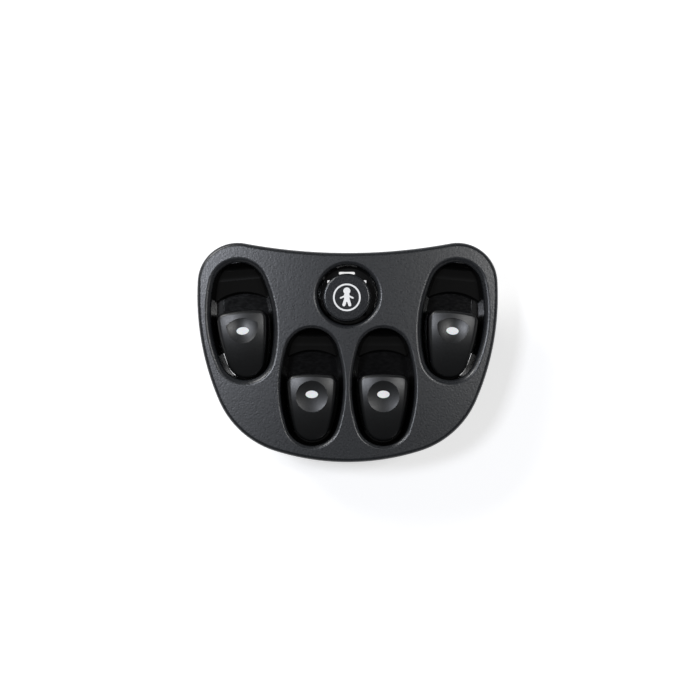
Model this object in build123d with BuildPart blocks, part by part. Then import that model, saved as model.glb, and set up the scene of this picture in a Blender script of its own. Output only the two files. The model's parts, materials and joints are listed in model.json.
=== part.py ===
# Four-way power window switch for a car's centre console, with a window lock button
# X runs across the plate, Y from the rocker tails towards the lips, Z up; the housing stands on Z = 0
from build123d import *
from math import asin, cos, hypot, radians, sin, sqrt, tan
import os

os.makedirs("parts", exist_ok=True)

# Plate outline: tangent arcs, mirrored left to right
plate_width = 118.0
plate_length = 86.0
ear_radius = 15.7
ear_inset = 15.85
dip_radius = 218.0
side_radius = 103.0
corner_radius = 35.6
nose_radius = 94.5
edge_round = 1.5

# Plate section
crown_radius = 1200.0
crown_top = 37.8
skirt_bottom = 29.0
plate_wall = 2.2
well_wall = 1.6
rib_thickness = 1.2
rib_depth = 4.0

# Rocker wells
inner_well_x = 14.0
inner_well_y = 29.4 - plate_length / 2
outer_well_x = plate_width / 2 - 17.6
outer_well_y = plate_length / 2 - 30.7
outer_lean = 5.5
rim_half_width = 12.45
rim_half_length = 23.2
rim_end_radius = 10.5
inner_rim_round = 1.3
outer_rim_round = 2.3
well_front_draft = 1.6
well_gap = 0.7
inner_lip_y = 5.2
outer_lip_y = 4.1
ledge_thickness = 0.8
outer_ledge_x = 7.6
outer_ledge_tail = -11.9
outer_ledge_front = 13.0
inner_ledge_front = -17.5

# Finger scoops at the lip end of each well
inner_recess = 9.0
outer_recess = 7.2
scoop_edge_z = 28.2
scoop_wall = 1.6
scoop_radius = 6.5
scoop_fall = 10.0
scoop_edge_radius = 18.0
scoop_lead = 8.0
scoop_edge_round = 0.7

# Rockers, measured from the pivot
pivot_z = 29.5
lip_reach = 13.3
tail_reach = 13.3
rocker_half_width = 9.75
tail_radius = 7.3
lip_sag = 0.9
lip_corner = 2.0
rocker_round = 1.4
rocker_crown_radius = 48.0
rocker_peak_y = 7.0
rocker_peak_z = 8.8
rocker_bottom = -1.5
lip_foot_y = 10.8
lip_under_z = 3.0
rocker_skin = 1.6
rocker_roof = 2.8

# Finger dishes and their window markers
dish_radius = 6.2
dish_behind_lip = 8.8
dish_depth = 1.0
pick_depth = 1.5
pick_half_width = 6.2
pick_tail = 7.1
pick_behind_lip = 5.8
pick_arch_behind_lip = 3.0
pick_arch_radius = 9.3
marker_length = 4.8
marker_width = 2.9
marker_behind_lip = 8.0
marker_proud = 0.12
light_rod_diameter = 2.2
light_rod_bottom = -2.0
lens_flange = 0.45
lens_flange_thickness = 0.8
lens_gap = 0.05

# Pivots: trunnions on the case towers, ears inside the rockers
trunnion_diameter = 3.6
trunnion_clearance = 0.05
trunnion_end = 7.0
tower_half_width = 5.2
tower_wall = 1.5
tower_tail = 6.2
tower_front = 8.2
tower_top = 32.0
tower_end_wall = 1.2
ear_diameter = 7.0
ear_gap = 0.4
ear_end = 7.6
ear_top = 5.5
trunnion_end_gap = 0.4

# Spring plungers in the rocker posts
post_diameter = 6.4
post_bottom = -7.5
bore_top = 4.6
plunger_diameter = 3.6
plunger_clearance = 0.15
plunger_reach = 10.1
plunger_length = 9.0
plunger_spring_radius = 1.3
plunger_spring_wire = 0.45
plunger_spring_turns = 5

# Rocking contacts
contact_thickness = 0.5
contact_half_width = 1.9
contact_half_length = 5.5
contact_rise = 6.0
contact_tip_gap = 0.05
contact_stub_diameter = 0.8
contact_stub_end = 3.2
contact_button_diameter = 1.8
contact_button_height = 0.6
contact_button_reach = 4.6
contact_closed_gap = 0.1
rivet_diameter = 2.4
rivet_round = 0.4
cradle_inner = 2.3
cradle_wall = 0.6
cradle_base = 0.8
cradle_length = 3.4
cradle_rise = 0.8
cradle_notch_gap = 0.1
lamp_y = 8.0
lamp_length = 3.2
lamp_width = 1.6
lamp_height = 0.7
lamp_dome = 0.6
lamp_dome_radius = 0.7
lamp_dome_round = 0.3

# Switch case
case_inset = 8.8
case_front = plate_length / 2 - 16.5
case_corner = 4.5
case_inner_corner = 1.0
case_wall = 2.0
case_round = 0.8
base_thickness = 2.5
deck_top = 25.0
deck_thickness = 2.0
screw_front_x = 21.0
screw_front_y = plate_length / 2 - 22.7
screw_rear_x = 33.0
screw_rear_y = 23.0 - plate_length / 2
screw_bore = 6.5
chimney_wall = 1.5
screw_hole = 3.4
screw_pilot = 2.4
screw_post = 6.0
screw_shank = 2.3
screw_head = 5.6
screw_head_height = 2.0
screw_length = 9.0
screw_seat_depth = 1.1
screw_cross = 3.2
screw_cross_width = 0.8
screw_cross_depth = 1.0
post_pilot_depth = 10.0

# Base cover and its snaps
upstand_height = 4.0
upstand_wall = 1.5
upstand_gap = 0.15
snap_width = 6.0
snap_reach = 0.9
snap_height = 1.8
snap_lead = 0.6
snap_gap = 0.25
snap_z = 5.2
side_snap_angle = -22.0
nose_snap_angle = -74.0
front_snap_x = 31.0
pillar_diameter = 5.0
pillar_front_x = 30.0
pillar_front_y = 9.0
pillar_mid_x = 24.0
pillar_mid_y = -8.0
pillar_rear_y = 17.0 - plate_length / 2

# Circuit board and connector
board_bottom = 14.0
board_thickness = 1.6
board_gap = 0.5
connector_y = -1.0
connector_length = 34.0
connector_width = 12.0
connector_wall = 1.6
connector_depth = 9.0
connector_gap = 0.25
key_width = 3.0
key_depth = 1.0
pin_pitch = 3.0
pin_rows = 2
pin_columns = 8
pin_size = 0.8
pin_tip_z = 5.5
pin_above_board = 1.0
pin_hole_gap = 0.1

# Retaining clips on the case sides
clip_angle = -6.0
clip_width = 9.0
clip_thickness = 0.8
clip_bottom = 8.0
clip_top = 21.0
clip_bulge = 2.8
clip_bulge_z = 13.5
clip_hook = 1.2
clip_bend = 0.6
clip_pad = 0.9
clip_pad_margin = 1.5
clip_slot_gap = 0.2

# Window lock: well, button and its push switch
lock_well_x = 0.1
lock_well_y = plate_length / 2 - 20.6
lock_rim_gap = 2.65
lock_floor_gap = 1.65
lock_floor_z = 28.5
lock_floor_thickness = 2.0
lock_rim_round = 1.5
lock_x = -0.3
lock_y = plate_length / 2 - 21.5
lock_window_length = 15.4
lock_window_width = 14.2
lock_slot_length = 6.4
lock_slot_width = 1.1
lock_slot_y = plate_length / 2 - 11.6
button_diameter = 18.7
lock_rim_radius = button_diameter / 2 + lock_rim_gap
lock_floor_radius = button_diameter / 2 + lock_floor_gap
button_top = 37.9
button_skirt = 6.0
button_wall = 1.5
button_roof = 2.0
button_round = 0.9
lock_tower_radius = 8.0
collar_diameter = 12.4
collar_bore = 8.6
collar_top = 32.8
stem_diameter = 8.0
key_rib_width = 1.2
key_rib_height = 0.9
key_rib_gap = 0.3
symbol_ring_radius = 5.4
symbol_line = 0.65
symbol_depth = 0.6
symbol_proud = 0.03
symbol_gap = 0.02
head_radius = 1.37
head_y = 2.5
body_width = 2.1
shoulder_y = 0.9
hip_y = -0.7
hip_x = 0.45
hand_x = 2.35
hand_y = -0.2
foot_x = 1.15
foot_y = -2.9
leg_width = 1.2
lock_module_size = 8.2
lock_module_height = 7.2
lock_module_wall = 1.0
lock_plunger_diameter = 3.6
lock_plunger_top = 26.0
lock_plunger_gap = 0.3
lock_flange_diameter = 5.6
lock_flange_z = 21.7
lock_flange_thickness = 1.0
lock_spring_radius = 2.1
lock_spring_wire = 0.45
lock_spring_turns = 3

# Worked-out levels and centres
margin = 1.0
board_top = board_bottom + board_thickness
deck_bottom = deck_top - deck_thickness
contact_z = pivot_z - plunger_reach - contact_tip_gap - contact_thickness / 2
ear_centre = Vector(plate_width / 2 - ear_inset, plate_length / 2 - ear_radius)
dip_centre = Vector(0, ear_centre.Y + sqrt((dip_radius + ear_radius) ** 2 - ear_centre.X**2))
side_offset = ear_centre.X - plate_width / 2 + side_radius
side_centre = Vector(
    plate_width / 2 - side_radius,
    ear_centre.Y - sqrt((side_radius - ear_radius) ** 2 - side_offset**2),
)
nose_centre = Vector(0, nose_radius - plate_length / 2)


# Centre of a circle that keeps the given distances from two others, on their right-hand side
def tangent_centre(first, first_distance, second, second_distance):
    gap = second - first
    along = (first_distance**2 - second_distance**2 + gap.length**2) / (2 * gap.length)
    across = sqrt(first_distance**2 - along**2)
    unit = gap.normalized()
    return first + unit * along + Vector(unit.Y, -unit.X) * across


corner_centre = tangent_centre(
    side_centre, side_radius - corner_radius, nose_centre, nose_radius - corner_radius
)


# Point of the circle about centre that lies towards, or away from, another point
def rim_point(centre, radius, other):
    return centre + (other - centre).normalized() * radius


def mirrored(point):
    return Vector(-point.X, point.Y)


# Arc of less than half a turn about a known centre
def bend(centre, start, end):
    middle = (start - centre) + (end - centre)
    return ThreePointArc(start, centre + middle.normalized() * (start - centre).length, end)


# Plane moved within its own axes
def moved(plane, x=0.0, y=0.0, z=0.0):
    return Plane(plane.location * Location((x, y, z)))


# Plane seen from the side: its X runs along the old Y and its Y along the old Z
def side_view(plane):
    return Plane(origin=plane.origin, x_dir=plane.y_dir, z_dir=plane.x_dir)


# Plane seen from the tail: its X stays and its Y runs along the old Z
def tail_view(plane):
    return Plane(origin=plane.origin, x_dir=plane.x_dir, z_dir=-plane.y_dir)


# The plate outline: convex arcs shrink with the inset and the hollow one grows, so all stay tangent
def plate_outline(inset):
    dip_end = rim_point(dip_centre, dip_radius + inset, ear_centre)
    ear_end = rim_point(side_centre, side_radius - inset, ear_centre)
    side_end = rim_point(side_centre, side_radius - inset, corner_centre)
    corner_end = rim_point(nose_centre, nose_radius - inset, corner_centre)
    with BuildLine() as outline:
        bend(dip_centre, mirrored(dip_end), dip_end)
        flank = [
            bend(ear_centre, dip_end, ear_end),
            bend(side_centre, ear_end, side_end),
            bend(corner_centre, side_end, corner_end),
        ]
        mirror(flank, about=Plane.YZ)
        bend(nose_centre, corner_end, mirrored(corner_end))
    make_face(outline.edges())


# The case outline follows the plate's, cut straight across its front but for the round lock tower
def case_outline(inset):
    plate_outline(case_inset + inset)
    with Locations((0, case_front - inset)):
        Rectangle(plate_width, 2 * plate_length, align=(Align.CENTER, Align.MAX), mode=Mode.INTERSECT)
    fillet(vertices().sort_by(Axis.Y)[-2:], max(case_corner - inset, case_inner_corner))
    with Locations((lock_x, lock_y)):
        Circle(lock_tower_radius - inset)


# Four-centre oval
def oval(half_width, half_length, end_radius):
    straight = half_length - end_radius
    flank_radius = (half_width**2 + straight**2 - end_radius**2) / (2 * (half_width - end_radius))
    flank_centre = Vector(half_width - flank_radius, 0)
    end_centre = Vector(0, straight)
    front = end_centre + (end_centre - flank_centre).normalized() * end_radius
    rear = Vector(front.X, -front.Y)
    with BuildLine() as outline:
        bend(flank_centre, rear, front)
        bend(end_centre, front, mirrored(front))
        bend(mirrored(flank_centre), mirrored(front), mirrored(rear))
        bend(-end_centre, mirrored(rear), rear)
    make_face(outline.edges())


# Height of the crowned plate at a distance from its middle
def crown_height(x):
    return crown_top - crown_radius + sqrt(crown_radius**2 - x**2)


# Side-on region below the crown
def under_crown(drop):
    reach = plate_width / 2 + margin
    edge = crown_height(reach) - drop
    with BuildLine() as outline:
        ThreePointArc((-reach, edge), (0, crown_top - drop), (reach, edge))
        Polyline((reach, edge), (reach, 0), (-reach, 0), (-reach, edge))
    make_face(outline.edges())


# Solid block of the plate's outline, crowned on top
def crowned_block(inset, drop, bottom):
    with BuildPart() as block:
        with BuildSketch(Plane.XY.offset(bottom)):
            plate_outline(inset)
        extrude(amount=crown_top - bottom)
        with BuildSketch(Plane.XZ):
            under_crown(drop)
        extrude(amount=plate_length, both=True, mode=Mode.INTERSECT)
    return block.part


# One window's rocker position: its well, its pivot and the look of its dish
class Window:
    def __init__(self, name, side, x, y, lean, lip_y, recess, rim_round, pick_dish):
        turn = radians(-side * lean)
        self.name = name
        self.side = side
        self.well = Plane(origin=(side * x, y, 0), x_dir=(cos(turn), sin(turn), 0), z_dir=(0, 0, 1))
        self.pivot = moved(self.well, y=lip_y - lip_reach, z=pivot_z)
        self.lip_y = lip_y
        self.scoop_y = lip_y + recess
        self.rim_z = crown_height(x)
        self.rim_round = rim_round
        self.pick_dish = pick_dish


windows = [
    Window(
        name=f"{end}_{hand}", side=side, x=x, y=y, lean=lean, lip_y=lip_y, recess=recess,
        rim_round=rim_round, pick_dish=pick_dish,
    )
    for end, x, y, lean, lip_y, recess, rim_round, pick_dish in (
        ("front", outer_well_x, outer_well_y, outer_lean, outer_lip_y, outer_recess, outer_rim_round, True),
        ("rear", inner_well_x, inner_well_y, 0, inner_lip_y, inner_recess, inner_rim_round, False),
    )
    for hand, side in (("left", -1), ("right", 1))
]
pillar_places = [
    (-pillar_front_x, pillar_front_y),
    (pillar_front_x, pillar_front_y),
    (-pillar_mid_x, pillar_mid_y),
    (pillar_mid_x, pillar_mid_y),
    (0, pillar_rear_y),
]
screw_places = [
    (side * x, y)
    for x, y in ((screw_front_x, screw_front_y), (screw_rear_x, screw_rear_y))
    for side in (-1, 1)
]


# Six places round the case wall, each plane's X pointing straight out of it
def wall_planes(inset, height):
    planes = []
    for side in (-1, 1):
        for centre, radius, angle in (
            (side_centre, side_radius, radians(side_snap_angle)),
            (nose_centre, nose_radius, radians(nose_snap_angle)),
        ):
            planes.append(flank_plane(side, centre, radius - case_inset - inset, angle, height))
        front = (side * front_snap_x, case_front - inset, height)
        planes.append(Plane(origin=front, x_dir=(0, 1, 0), z_dir=(0, 0, 1)))
    return planes


def flank_plane(side, centre, radius, angle, height):
    out = Vector(side * cos(angle), sin(angle))
    place = Vector(side * centre.X, centre.Y, height) + out * radius
    return Plane(origin=place, x_dir=out, z_dir=(0, 0, 1))


# Drafted oval well: the rim oval at the plate narrows to the rocker's own outline at the deck
def well_form(window, grow, bottom, top):
    tail_y = window.lip_y - lip_reach - tail_reach - well_gap
    front_y = rim_half_length - well_front_draft
    depth = window.rim_z - deck_top
    with BuildPart() as form:
        for height in (bottom, top):
            share = (height - deck_top) / depth
            half_width = rocker_half_width + well_gap
            half_width += (rim_half_width - half_width) * share
            front = front_y + (rim_half_length - front_y) * share
            tail = tail_y + (-rim_half_length - tail_y) * share
            end_radius = tail_radius + well_gap + (rim_end_radius - tail_radius - well_gap) * share
            with BuildSketch(moved(window.well, y=(front + tail) / 2, z=height)):
                oval(half_width + grow, (front - tail) / 2 + grow, end_radius + grow)
        loft(ruled=True)
    return form.part


# Side-on region under the finger slide: a gentle slope, then a curve up the well's front wall
def under_slide(window, shift):
    offset_by = Vector(shift, -shift)
    wall_share = (window.rim_z - scoop_edge_z - scoop_radius) / (window.rim_z - deck_top)
    flat_end = rim_half_length - well_front_draft * wall_share - scoop_radius
    fall = (flat_end - window.scoop_y) * tan(radians(scoop_fall))
    foot = Vector(flat_end, scoop_edge_z + fall) + offset_by
    brink = Vector(window.scoop_y - scoop_lead, scoop_edge_z - scoop_lead * tan(radians(scoop_fall)))
    brink += offset_by
    top = foot + Vector(scoop_radius, scoop_radius)
    back = Vector(rim_half_length + scoop_radius, 0)
    with BuildLine() as outline:
        Line(brink, foot)
        bend(foot + Vector(0, scoop_radius), foot, top)
        Polyline(top, (back.X, top.Y), back, (brink.X, 0), brink)
    make_face(outline.edges())


# Finger scoop: the slide's skin, ending towards the rocker in a free, arched edge
def scoop(window):
    view = side_view(window.well)
    with BuildPart() as slide:
        with BuildSketch(view):
            under_slide(window, 0)
        extrude(amount=rim_half_width, both=True)
        with BuildSketch(view):
            under_slide(window, scoop_wall)
        extrude(amount=rim_half_width + margin, both=True, mode=Mode.SUBTRACT)
        with BuildSketch(moved(window.well, y=window.scoop_y - scoop_edge_radius)):
            Circle(scoop_edge_radius)
        extrude(amount=crown_top, mode=Mode.SUBTRACT)
        fillet(slide.edges().filter_by(GeomType.ELLIPSE).sort_by(Axis.Z)[-1], scoop_edge_round)
        add(well_form(window, well_wall / 2, deck_top, crown_top + margin), mode=Mode.INTERSECT)
    return slide.part


# Ledge at the foot of a well, which closes the gap beside or behind the rocker to the case below
def well_ledge(window):
    with BuildPart() as ledge:
        with BuildSketch(moved(window.well, z=deck_top)):
            if window.pick_dish:
                x = window.side * (outer_ledge_x + rim_half_width / 2)
                with Locations((x, (outer_ledge_tail + outer_ledge_front) / 2)):
                    Rectangle(rim_half_width, outer_ledge_front - outer_ledge_tail)
            else:
                with Locations((0, inner_ledge_front - rim_half_length / 2)):
                    Rectangle(2 * rim_half_width, rim_half_length)
        extrude(amount=ledge_thickness)
        add(well_form(window, well_wall / 2, deck_top, crown_top + margin), mode=Mode.INTERSECT)
    return ledge.part


# How far the middle of a rim's box lies from a place, seen from above
def centre_offset(wire, place):
    middle = wire.bounding_box().center()
    return hypot(middle.X - place.X, middle.Y - place.Y)


# Lock well: a drafted round pocket
def lock_cone(grow, bottom):
    draft = (lock_rim_radius - lock_floor_radius) / (crown_top - lock_floor_z)
    with BuildPart() as cone:
        with BuildSketch(Plane(origin=(lock_well_x, lock_well_y, 0), x_dir=(1, 0, 0), z_dir=(0, -1, 0))):
            low = lock_floor_radius + grow + draft * (bottom - lock_floor_z)
            high = lock_rim_radius + grow + draft * margin
            with BuildLine():
                Polyline((0, bottom), (low, bottom), (high, crown_top + margin),
                         (0, crown_top + margin), close=True)
            make_face()
        revolve(axis=Axis((lock_well_x, lock_well_y, 0), (0, 0, 1)))
    return cone.part


# Everything that is hollow under the plate: all but the well walls, screw posts and ribs
def plate_relief():
    floor = deck_top - margin
    with BuildPart() as relief:
        add(crowned_block(plate_wall, plate_wall, floor))
        with BuildSketch(Plane.XY.offset(floor)):
            plate_outline(-margin)
        extrude(amount=skirt_bottom - floor)
        for window in windows:
            add(well_form(window, well_wall, floor, crown_top + margin), mode=Mode.SUBTRACT)
        add(lock_cone(well_wall, lock_floor_z - lock_floor_thickness), mode=Mode.SUBTRACT)
        with BuildSketch(Plane.XY.offset(floor)):
            with Locations(*screw_places):
                Circle(screw_post / 2)
        extrude(amount=crown_top - floor, mode=Mode.SUBTRACT)
        with BuildSketch(Plane.XY.offset(crown_height(plate_width / 2) - plate_wall - rib_depth)):
            for x, y in screw_places:
                with Locations((x, y)):
                    Rectangle(rib_thickness, screw_post + 2 * rib_depth)
                    Rectangle(screw_post + 2 * rib_depth, rib_thickness)
        extrude(amount=crown_top, mode=Mode.SUBTRACT)
    return relief.part


# Bezel: crowned plate with a skirt, four rocker wells with finger scoops, and the lock button's well
with BuildPart() as bezel:
    add(crowned_block(0, 0, deck_top))
    outer_edge = bezel.faces().filter_by(GeomType.CYLINDER).sort_by(SortBy.AREA)[-1].edges()
    fillet(outer_edge, edge_round)
    for window in windows:
        add(well_form(window, 0, deck_top - margin, crown_top + margin), mode=Mode.SUBTRACT)
    add(lock_cone(0, lock_floor_z), mode=Mode.SUBTRACT)
    rims = [(window.well.origin, window.rim_round) for window in windows]
    rims.append((Vector(lock_well_x, lock_well_y), lock_rim_round))
    for centre, radius in rims:
        crown_face = bezel.faces().filter_by(GeomType.CYLINDER).sort_by(SortBy.AREA)[-1]
        rim = min(crown_face.inner_wires(), key=lambda wire: centre_offset(wire, centre))
        fillet(rim.edges(), radius)
    add(plate_relief(), mode=Mode.SUBTRACT)
    for window in windows:
        add(scoop(window))
        add(well_ledge(window))
    with BuildSketch(Plane.XY.offset(lock_floor_z)):
        with Locations((lock_x, lock_y)):
            Rectangle(lock_window_length, lock_window_width)
        with Locations((lock_x, lock_slot_y)):
            SlotOverall(lock_slot_length, lock_slot_width)
    extrude(amount=-lock_floor_thickness - margin, mode=Mode.SUBTRACT)
    with BuildSketch(Plane.XY.offset(deck_top)):
        with Locations(*screw_places):
            Circle(screw_pilot / 2)
    extrude(amount=post_pilot_depth, mode=Mode.SUBTRACT)
bezel.part.label = "bezel"
export_step(bezel.part, "parts/bezel.step")


# Rocker outline: the tail half of a four-centre oval, closed by a slightly arched lip
def rocker_outline(inset):
    straight = lip_reach + tail_reach - tail_radius
    flank_radius = rocker_half_width**2 + straight**2 - tail_radius**2
    flank_radius /= 2 * (rocker_half_width - tail_radius)
    flank_centre = Vector(rocker_half_width - flank_radius, lip_reach)
    tail_centre = Vector(0, tail_radius - tail_reach)
    tail = tail_centre + (tail_centre - flank_centre).normalized() * (tail_radius - inset)
    lip_y = lip_reach - lip_sag - inset
    across = sqrt((flank_radius - inset) ** 2 - (lip_reach - lip_y) ** 2)
    lip = Vector(flank_centre.X + across, lip_y)
    with BuildLine() as outline:
        bend(flank_centre, tail, lip)
        ThreePointArc(lip, (0, lip_reach - inset), mirrored(lip))
        bend(mirrored(flank_centre), mirrored(lip), mirrored(tail))
        bend(tail_centre, mirrored(tail), tail)
    make_face(outline.edges())
    fillet(vertices().sort_by(Axis.Y)[-2:], lip_corner - inset / 2)


# Side-on region of a rocker: domed top, flat bottom and an undercut below the lip
def rocker_side(inset, drop, bottom):
    slope = (lip_under_z - rocker_bottom) / (lip_reach - lip_foot_y)
    front = lip_reach - inset + margin / 2
    tail = -tail_reach - margin
    foot = Vector(lip_foot_y - inset + (bottom - rocker_bottom) / slope, bottom)
    under = Vector(front, bottom + slope * (front - foot.X))
    radius = rocker_crown_radius - drop
    crown_centre = Vector(rocker_peak_y, rocker_peak_z - rocker_crown_radius)
    front_top = crown_centre + Vector(front - rocker_peak_y, sqrt(radius**2 - (front - rocker_peak_y) ** 2))
    tail_top = crown_centre + Vector(tail - rocker_peak_y, sqrt(radius**2 - (tail - rocker_peak_y) ** 2))
    with BuildLine() as outline:
        bend(crown_centre, front_top, tail_top)
        Polyline(tail_top, (tail, bottom), foot, under, front_top)
    make_face(outline.edges())


def rocker_block(pivot, inset, drop, bottom):
    with BuildPart() as block:
        with BuildSketch(moved(pivot, z=bottom)):
            rocker_outline(inset)
        extrude(amount=rocker_peak_z - bottom)
        with BuildSketch(side_view(pivot)):
            rocker_side(inset, drop, bottom)
        extrude(amount=rocker_half_width, both=True, mode=Mode.INTERSECT)
    return block.part


# Plane standing on a rocker's crown at a distance behind the lip, square to the surface
def crown_plane(pivot, behind_lip):
    y = lip_reach - behind_lip
    lean = asin((y - rocker_peak_y) / rocker_crown_radius)
    height = rocker_peak_z - rocker_crown_radius * (1 - cos(lean))
    normal = pivot.y_dir * sin(lean) + pivot.z_dir * cos(lean)
    return Plane(origin=moved(pivot, y=y, z=height).origin, x_dir=pivot.x_dir, z_dir=normal)


# Finger dish cutter: a round bowl whose edge stays a true oval on the domed rocker
def bowl(seat, half_width, half_length, depth):
    across_radius = (half_width**2 + depth**2) / (2 * depth)
    along_radius = 1 / (2 * depth / half_length**2 - 1 / rocker_crown_radius)
    with BuildPart() as cutter:
        with BuildSketch(tail_view(seat)):
            with Locations((0, across_radius - depth)):
                Circle(across_radius)
            with Locations((0, -depth)):
                Rectangle(2 * across_radius, 2 * depth + margin, align=(Align.CENTER, Align.MIN),
                          mode=Mode.INTERSECT)
        hinge = moved(seat, z=along_radius - depth).origin
        revolve(axis=Axis(hinge, seat.x_dir))
    return cutter.part


# The front rockers' dish is shaped like a plectrum: a long bowl closed off by an arched step
def finger_dish(window):
    if not window.pick_dish:
        return bowl(crown_plane(window.pivot, dish_behind_lip), dish_radius, dish_radius, dish_depth)
    seat = crown_plane(window.pivot, pick_behind_lip)
    with BuildPart() as cutter:
        add(bowl(seat, pick_half_width, pick_tail, pick_depth))
        arch = moved(window.pivot, y=lip_reach - pick_arch_behind_lip - pick_arch_radius)
        with BuildSketch(arch):
            Circle(pick_arch_radius)
        extrude(amount=rocker_peak_z + margin, mode=Mode.INTERSECT)
    return cutter.part


def dish_floor(window):
    y = lip_reach - marker_behind_lip
    seat_y = lip_reach - (pick_behind_lip if window.pick_dish else dish_behind_lip)
    depth = pick_depth if window.pick_dish else dish_depth
    half_length = pick_tail if window.pick_dish else dish_radius
    lean = asin((y - rocker_peak_y) / rocker_crown_radius)
    crown = rocker_peak_z - rocker_crown_radius * (1 - cos(lean))
    return crown - depth * (1 - ((y - seat_y) / half_length) ** 2)


# Rocker: hollow cap with pivot ears and a post that carries the spring plunger
def build_rocker(window):
    pivot = window.pivot
    with BuildPart() as rocker:
        add(rocker_block(pivot, 0, 0, rocker_bottom))
        crown = rocker.faces().filter_by(GeomType.CYLINDER).sort_by(SortBy.AREA)[-1]
        fillet(crown.edges(), rocker_round)
        add(finger_dish(window), mode=Mode.SUBTRACT)
        add(rocker_block(pivot, rocker_skin, rocker_roof, rocker_bottom - margin), mode=Mode.SUBTRACT)
        for side in (-1, 1):
            ear_start = tower_half_width + ear_gap
            with BuildSketch(side_view(moved(pivot, x=side * ear_start))):
                Circle(ear_diameter / 2)
                Rectangle(ear_diameter, ear_top, align=(Align.CENTER, Align.MIN))
            extrude(amount=side * (ear_end - ear_start))
            with BuildSketch(side_view(moved(pivot, x=side * ear_start))):
                Circle(trunnion_diameter / 2 + trunnion_clearance)
            extrude(amount=side * (trunnion_end + trunnion_end_gap - ear_start), mode=Mode.SUBTRACT)
        with BuildSketch(moved(pivot, z=post_bottom)):
            Circle(post_diameter / 2)
        extrude(amount=ear_top - post_bottom)
        with BuildSketch(moved(pivot, z=post_bottom)):
            Circle(plunger_diameter / 2 + plunger_clearance)
        extrude(amount=bore_top - post_bottom, mode=Mode.SUBTRACT)
        with BuildSketch(moved(pivot, y=lip_reach - marker_behind_lip)):
            Ellipse(marker_length / 2 + lens_gap, marker_width / 2 + lens_gap)
        extrude(amount=rocker_peak_z, mode=Mode.SUBTRACT)
    return rocker.part


# Window marker: an oval lens head in the dish, with its flange and light rod below
def build_lens(window):
    seat = moved(window.pivot, y=lip_reach - marker_behind_lip)
    flange_top = rocker_peak_z - rocker_crown_radius + sqrt(
        (rocker_crown_radius - rocker_roof) ** 2
        - (lip_reach - marker_behind_lip - marker_width - rocker_peak_y) ** 2
    ) - lens_gap
    with BuildPart() as lens:
        with BuildSketch(moved(seat, z=flange_top - lens_flange_thickness)):
            Ellipse(marker_length / 2, marker_width / 2)
        extrude(amount=dish_floor(window) + marker_proud - flange_top + lens_flange_thickness)
        with BuildSketch(moved(seat, z=flange_top - lens_flange_thickness)):
            Ellipse(marker_length / 2 + lens_flange, marker_width / 2 + lens_flange)
        extrude(amount=lens_flange_thickness)
        with BuildSketch(moved(seat, z=light_rod_bottom)):
            Circle(light_rod_diameter / 2)
        extrude(amount=flange_top - lens_flange_thickness - light_rod_bottom)
    return lens.part


# Plunger: a round-nosed pin that rocks the contact below
def build_plunger(window):
    nose = plunger_diameter / 2
    view = side_view(window.pivot)
    with BuildPart() as plunger:
        with BuildSketch(view):
            with BuildLine():
                Line((0, -plunger_reach), (0, plunger_length - plunger_reach))
                Line((0, plunger_length - plunger_reach), (nose, plunger_length - plunger_reach))
                Line((nose, plunger_length - plunger_reach), (nose, nose - plunger_reach))
                bend(Vector(0, nose - plunger_reach), Vector(nose, nose - plunger_reach),
                     Vector(0, -plunger_reach))
            make_face()
        revolve(axis=Axis(window.pivot.origin, window.pivot.z_dir))
    return plunger.part


# Coil spring of a few open turns that fills the space between two levels
def build_spring(seat, radius, wire, turns, height):
    rise = height - wire
    with BuildPart() as spring:
        with BuildLine(moved(seat, z=wire / 2)) as coil:
            Helix(pitch=rise / turns, height=rise, radius=radius)
        with BuildSketch(Plane(origin=coil.line @ 0, x_dir=seat.x_dir, z_dir=coil.line % 0)):
            RegularPolygon(wire / 2, 6)
        sweep(path=coil.line, is_frenet=True)
    return spring.part


# Rocking contact: a shallow V of brass strip on two stubs, with a button under each wing
def build_rocking_contact(window):
    pivot = moved(window.pivot, z=contact_z - pivot_z)
    wing = Vector(cos(radians(contact_rise)), sin(radians(contact_rise)))
    with BuildPart() as contact:
        with BuildSketch(side_view(pivot)):
            with BuildLine():
                Polyline(mirrored(wing * contact_half_length), (0, 0), wing * contact_half_length)
            trace(line_width=contact_thickness)
        extrude(amount=contact_half_width, both=True)
        for side in (-1, 1):
            with BuildSketch(side_view(moved(pivot, x=side * (contact_half_width - contact_thickness)))):
                Circle(contact_stub_diameter / 2)
            extrude(amount=side * (contact_stub_end - contact_half_width + contact_thickness))
            down = pivot.y_dir * side * wing.Y - pivot.z_dir * wing.X
            place = moved(pivot, y=side * contact_button_reach * wing.X, z=contact_button_reach * wing.Y)
            with BuildSketch(Plane(origin=place.origin, x_dir=pivot.x_dir, z_dir=down)):
                Circle(contact_button_diameter / 2)
            extrude(amount=contact_thickness / 2 + contact_button_height)
    return contact.part


# Cradle: a small bracket on the board whose notched ears hold the contact's stubs
def build_cradle(window):
    seat = moved(window.pivot, z=board_top - pivot_z)
    stub_height = contact_z - board_top
    notch = contact_stub_diameter / 2 + cradle_notch_gap
    with BuildPart() as cradle:
        with BuildSketch(seat):
            Rectangle(2 * (cradle_inner + cradle_wall), cradle_length)
        extrude(amount=cradle_base)
        for side in (-1, 1):
            with BuildSketch(side_view(moved(seat, x=side * cradle_inner))):
                Rectangle(cradle_length, stub_height + cradle_rise, align=(Align.CENTER, Align.MIN))
                with Locations((0, stub_height)):
                    Circle(notch, mode=Mode.SUBTRACT)
                    Rectangle(2 * notch, cradle_rise + margin, align=(Align.CENTER, Align.MIN),
                              mode=Mode.SUBTRACT)
            extrude(amount=side * cradle_wall)
    return cradle.part


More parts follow.
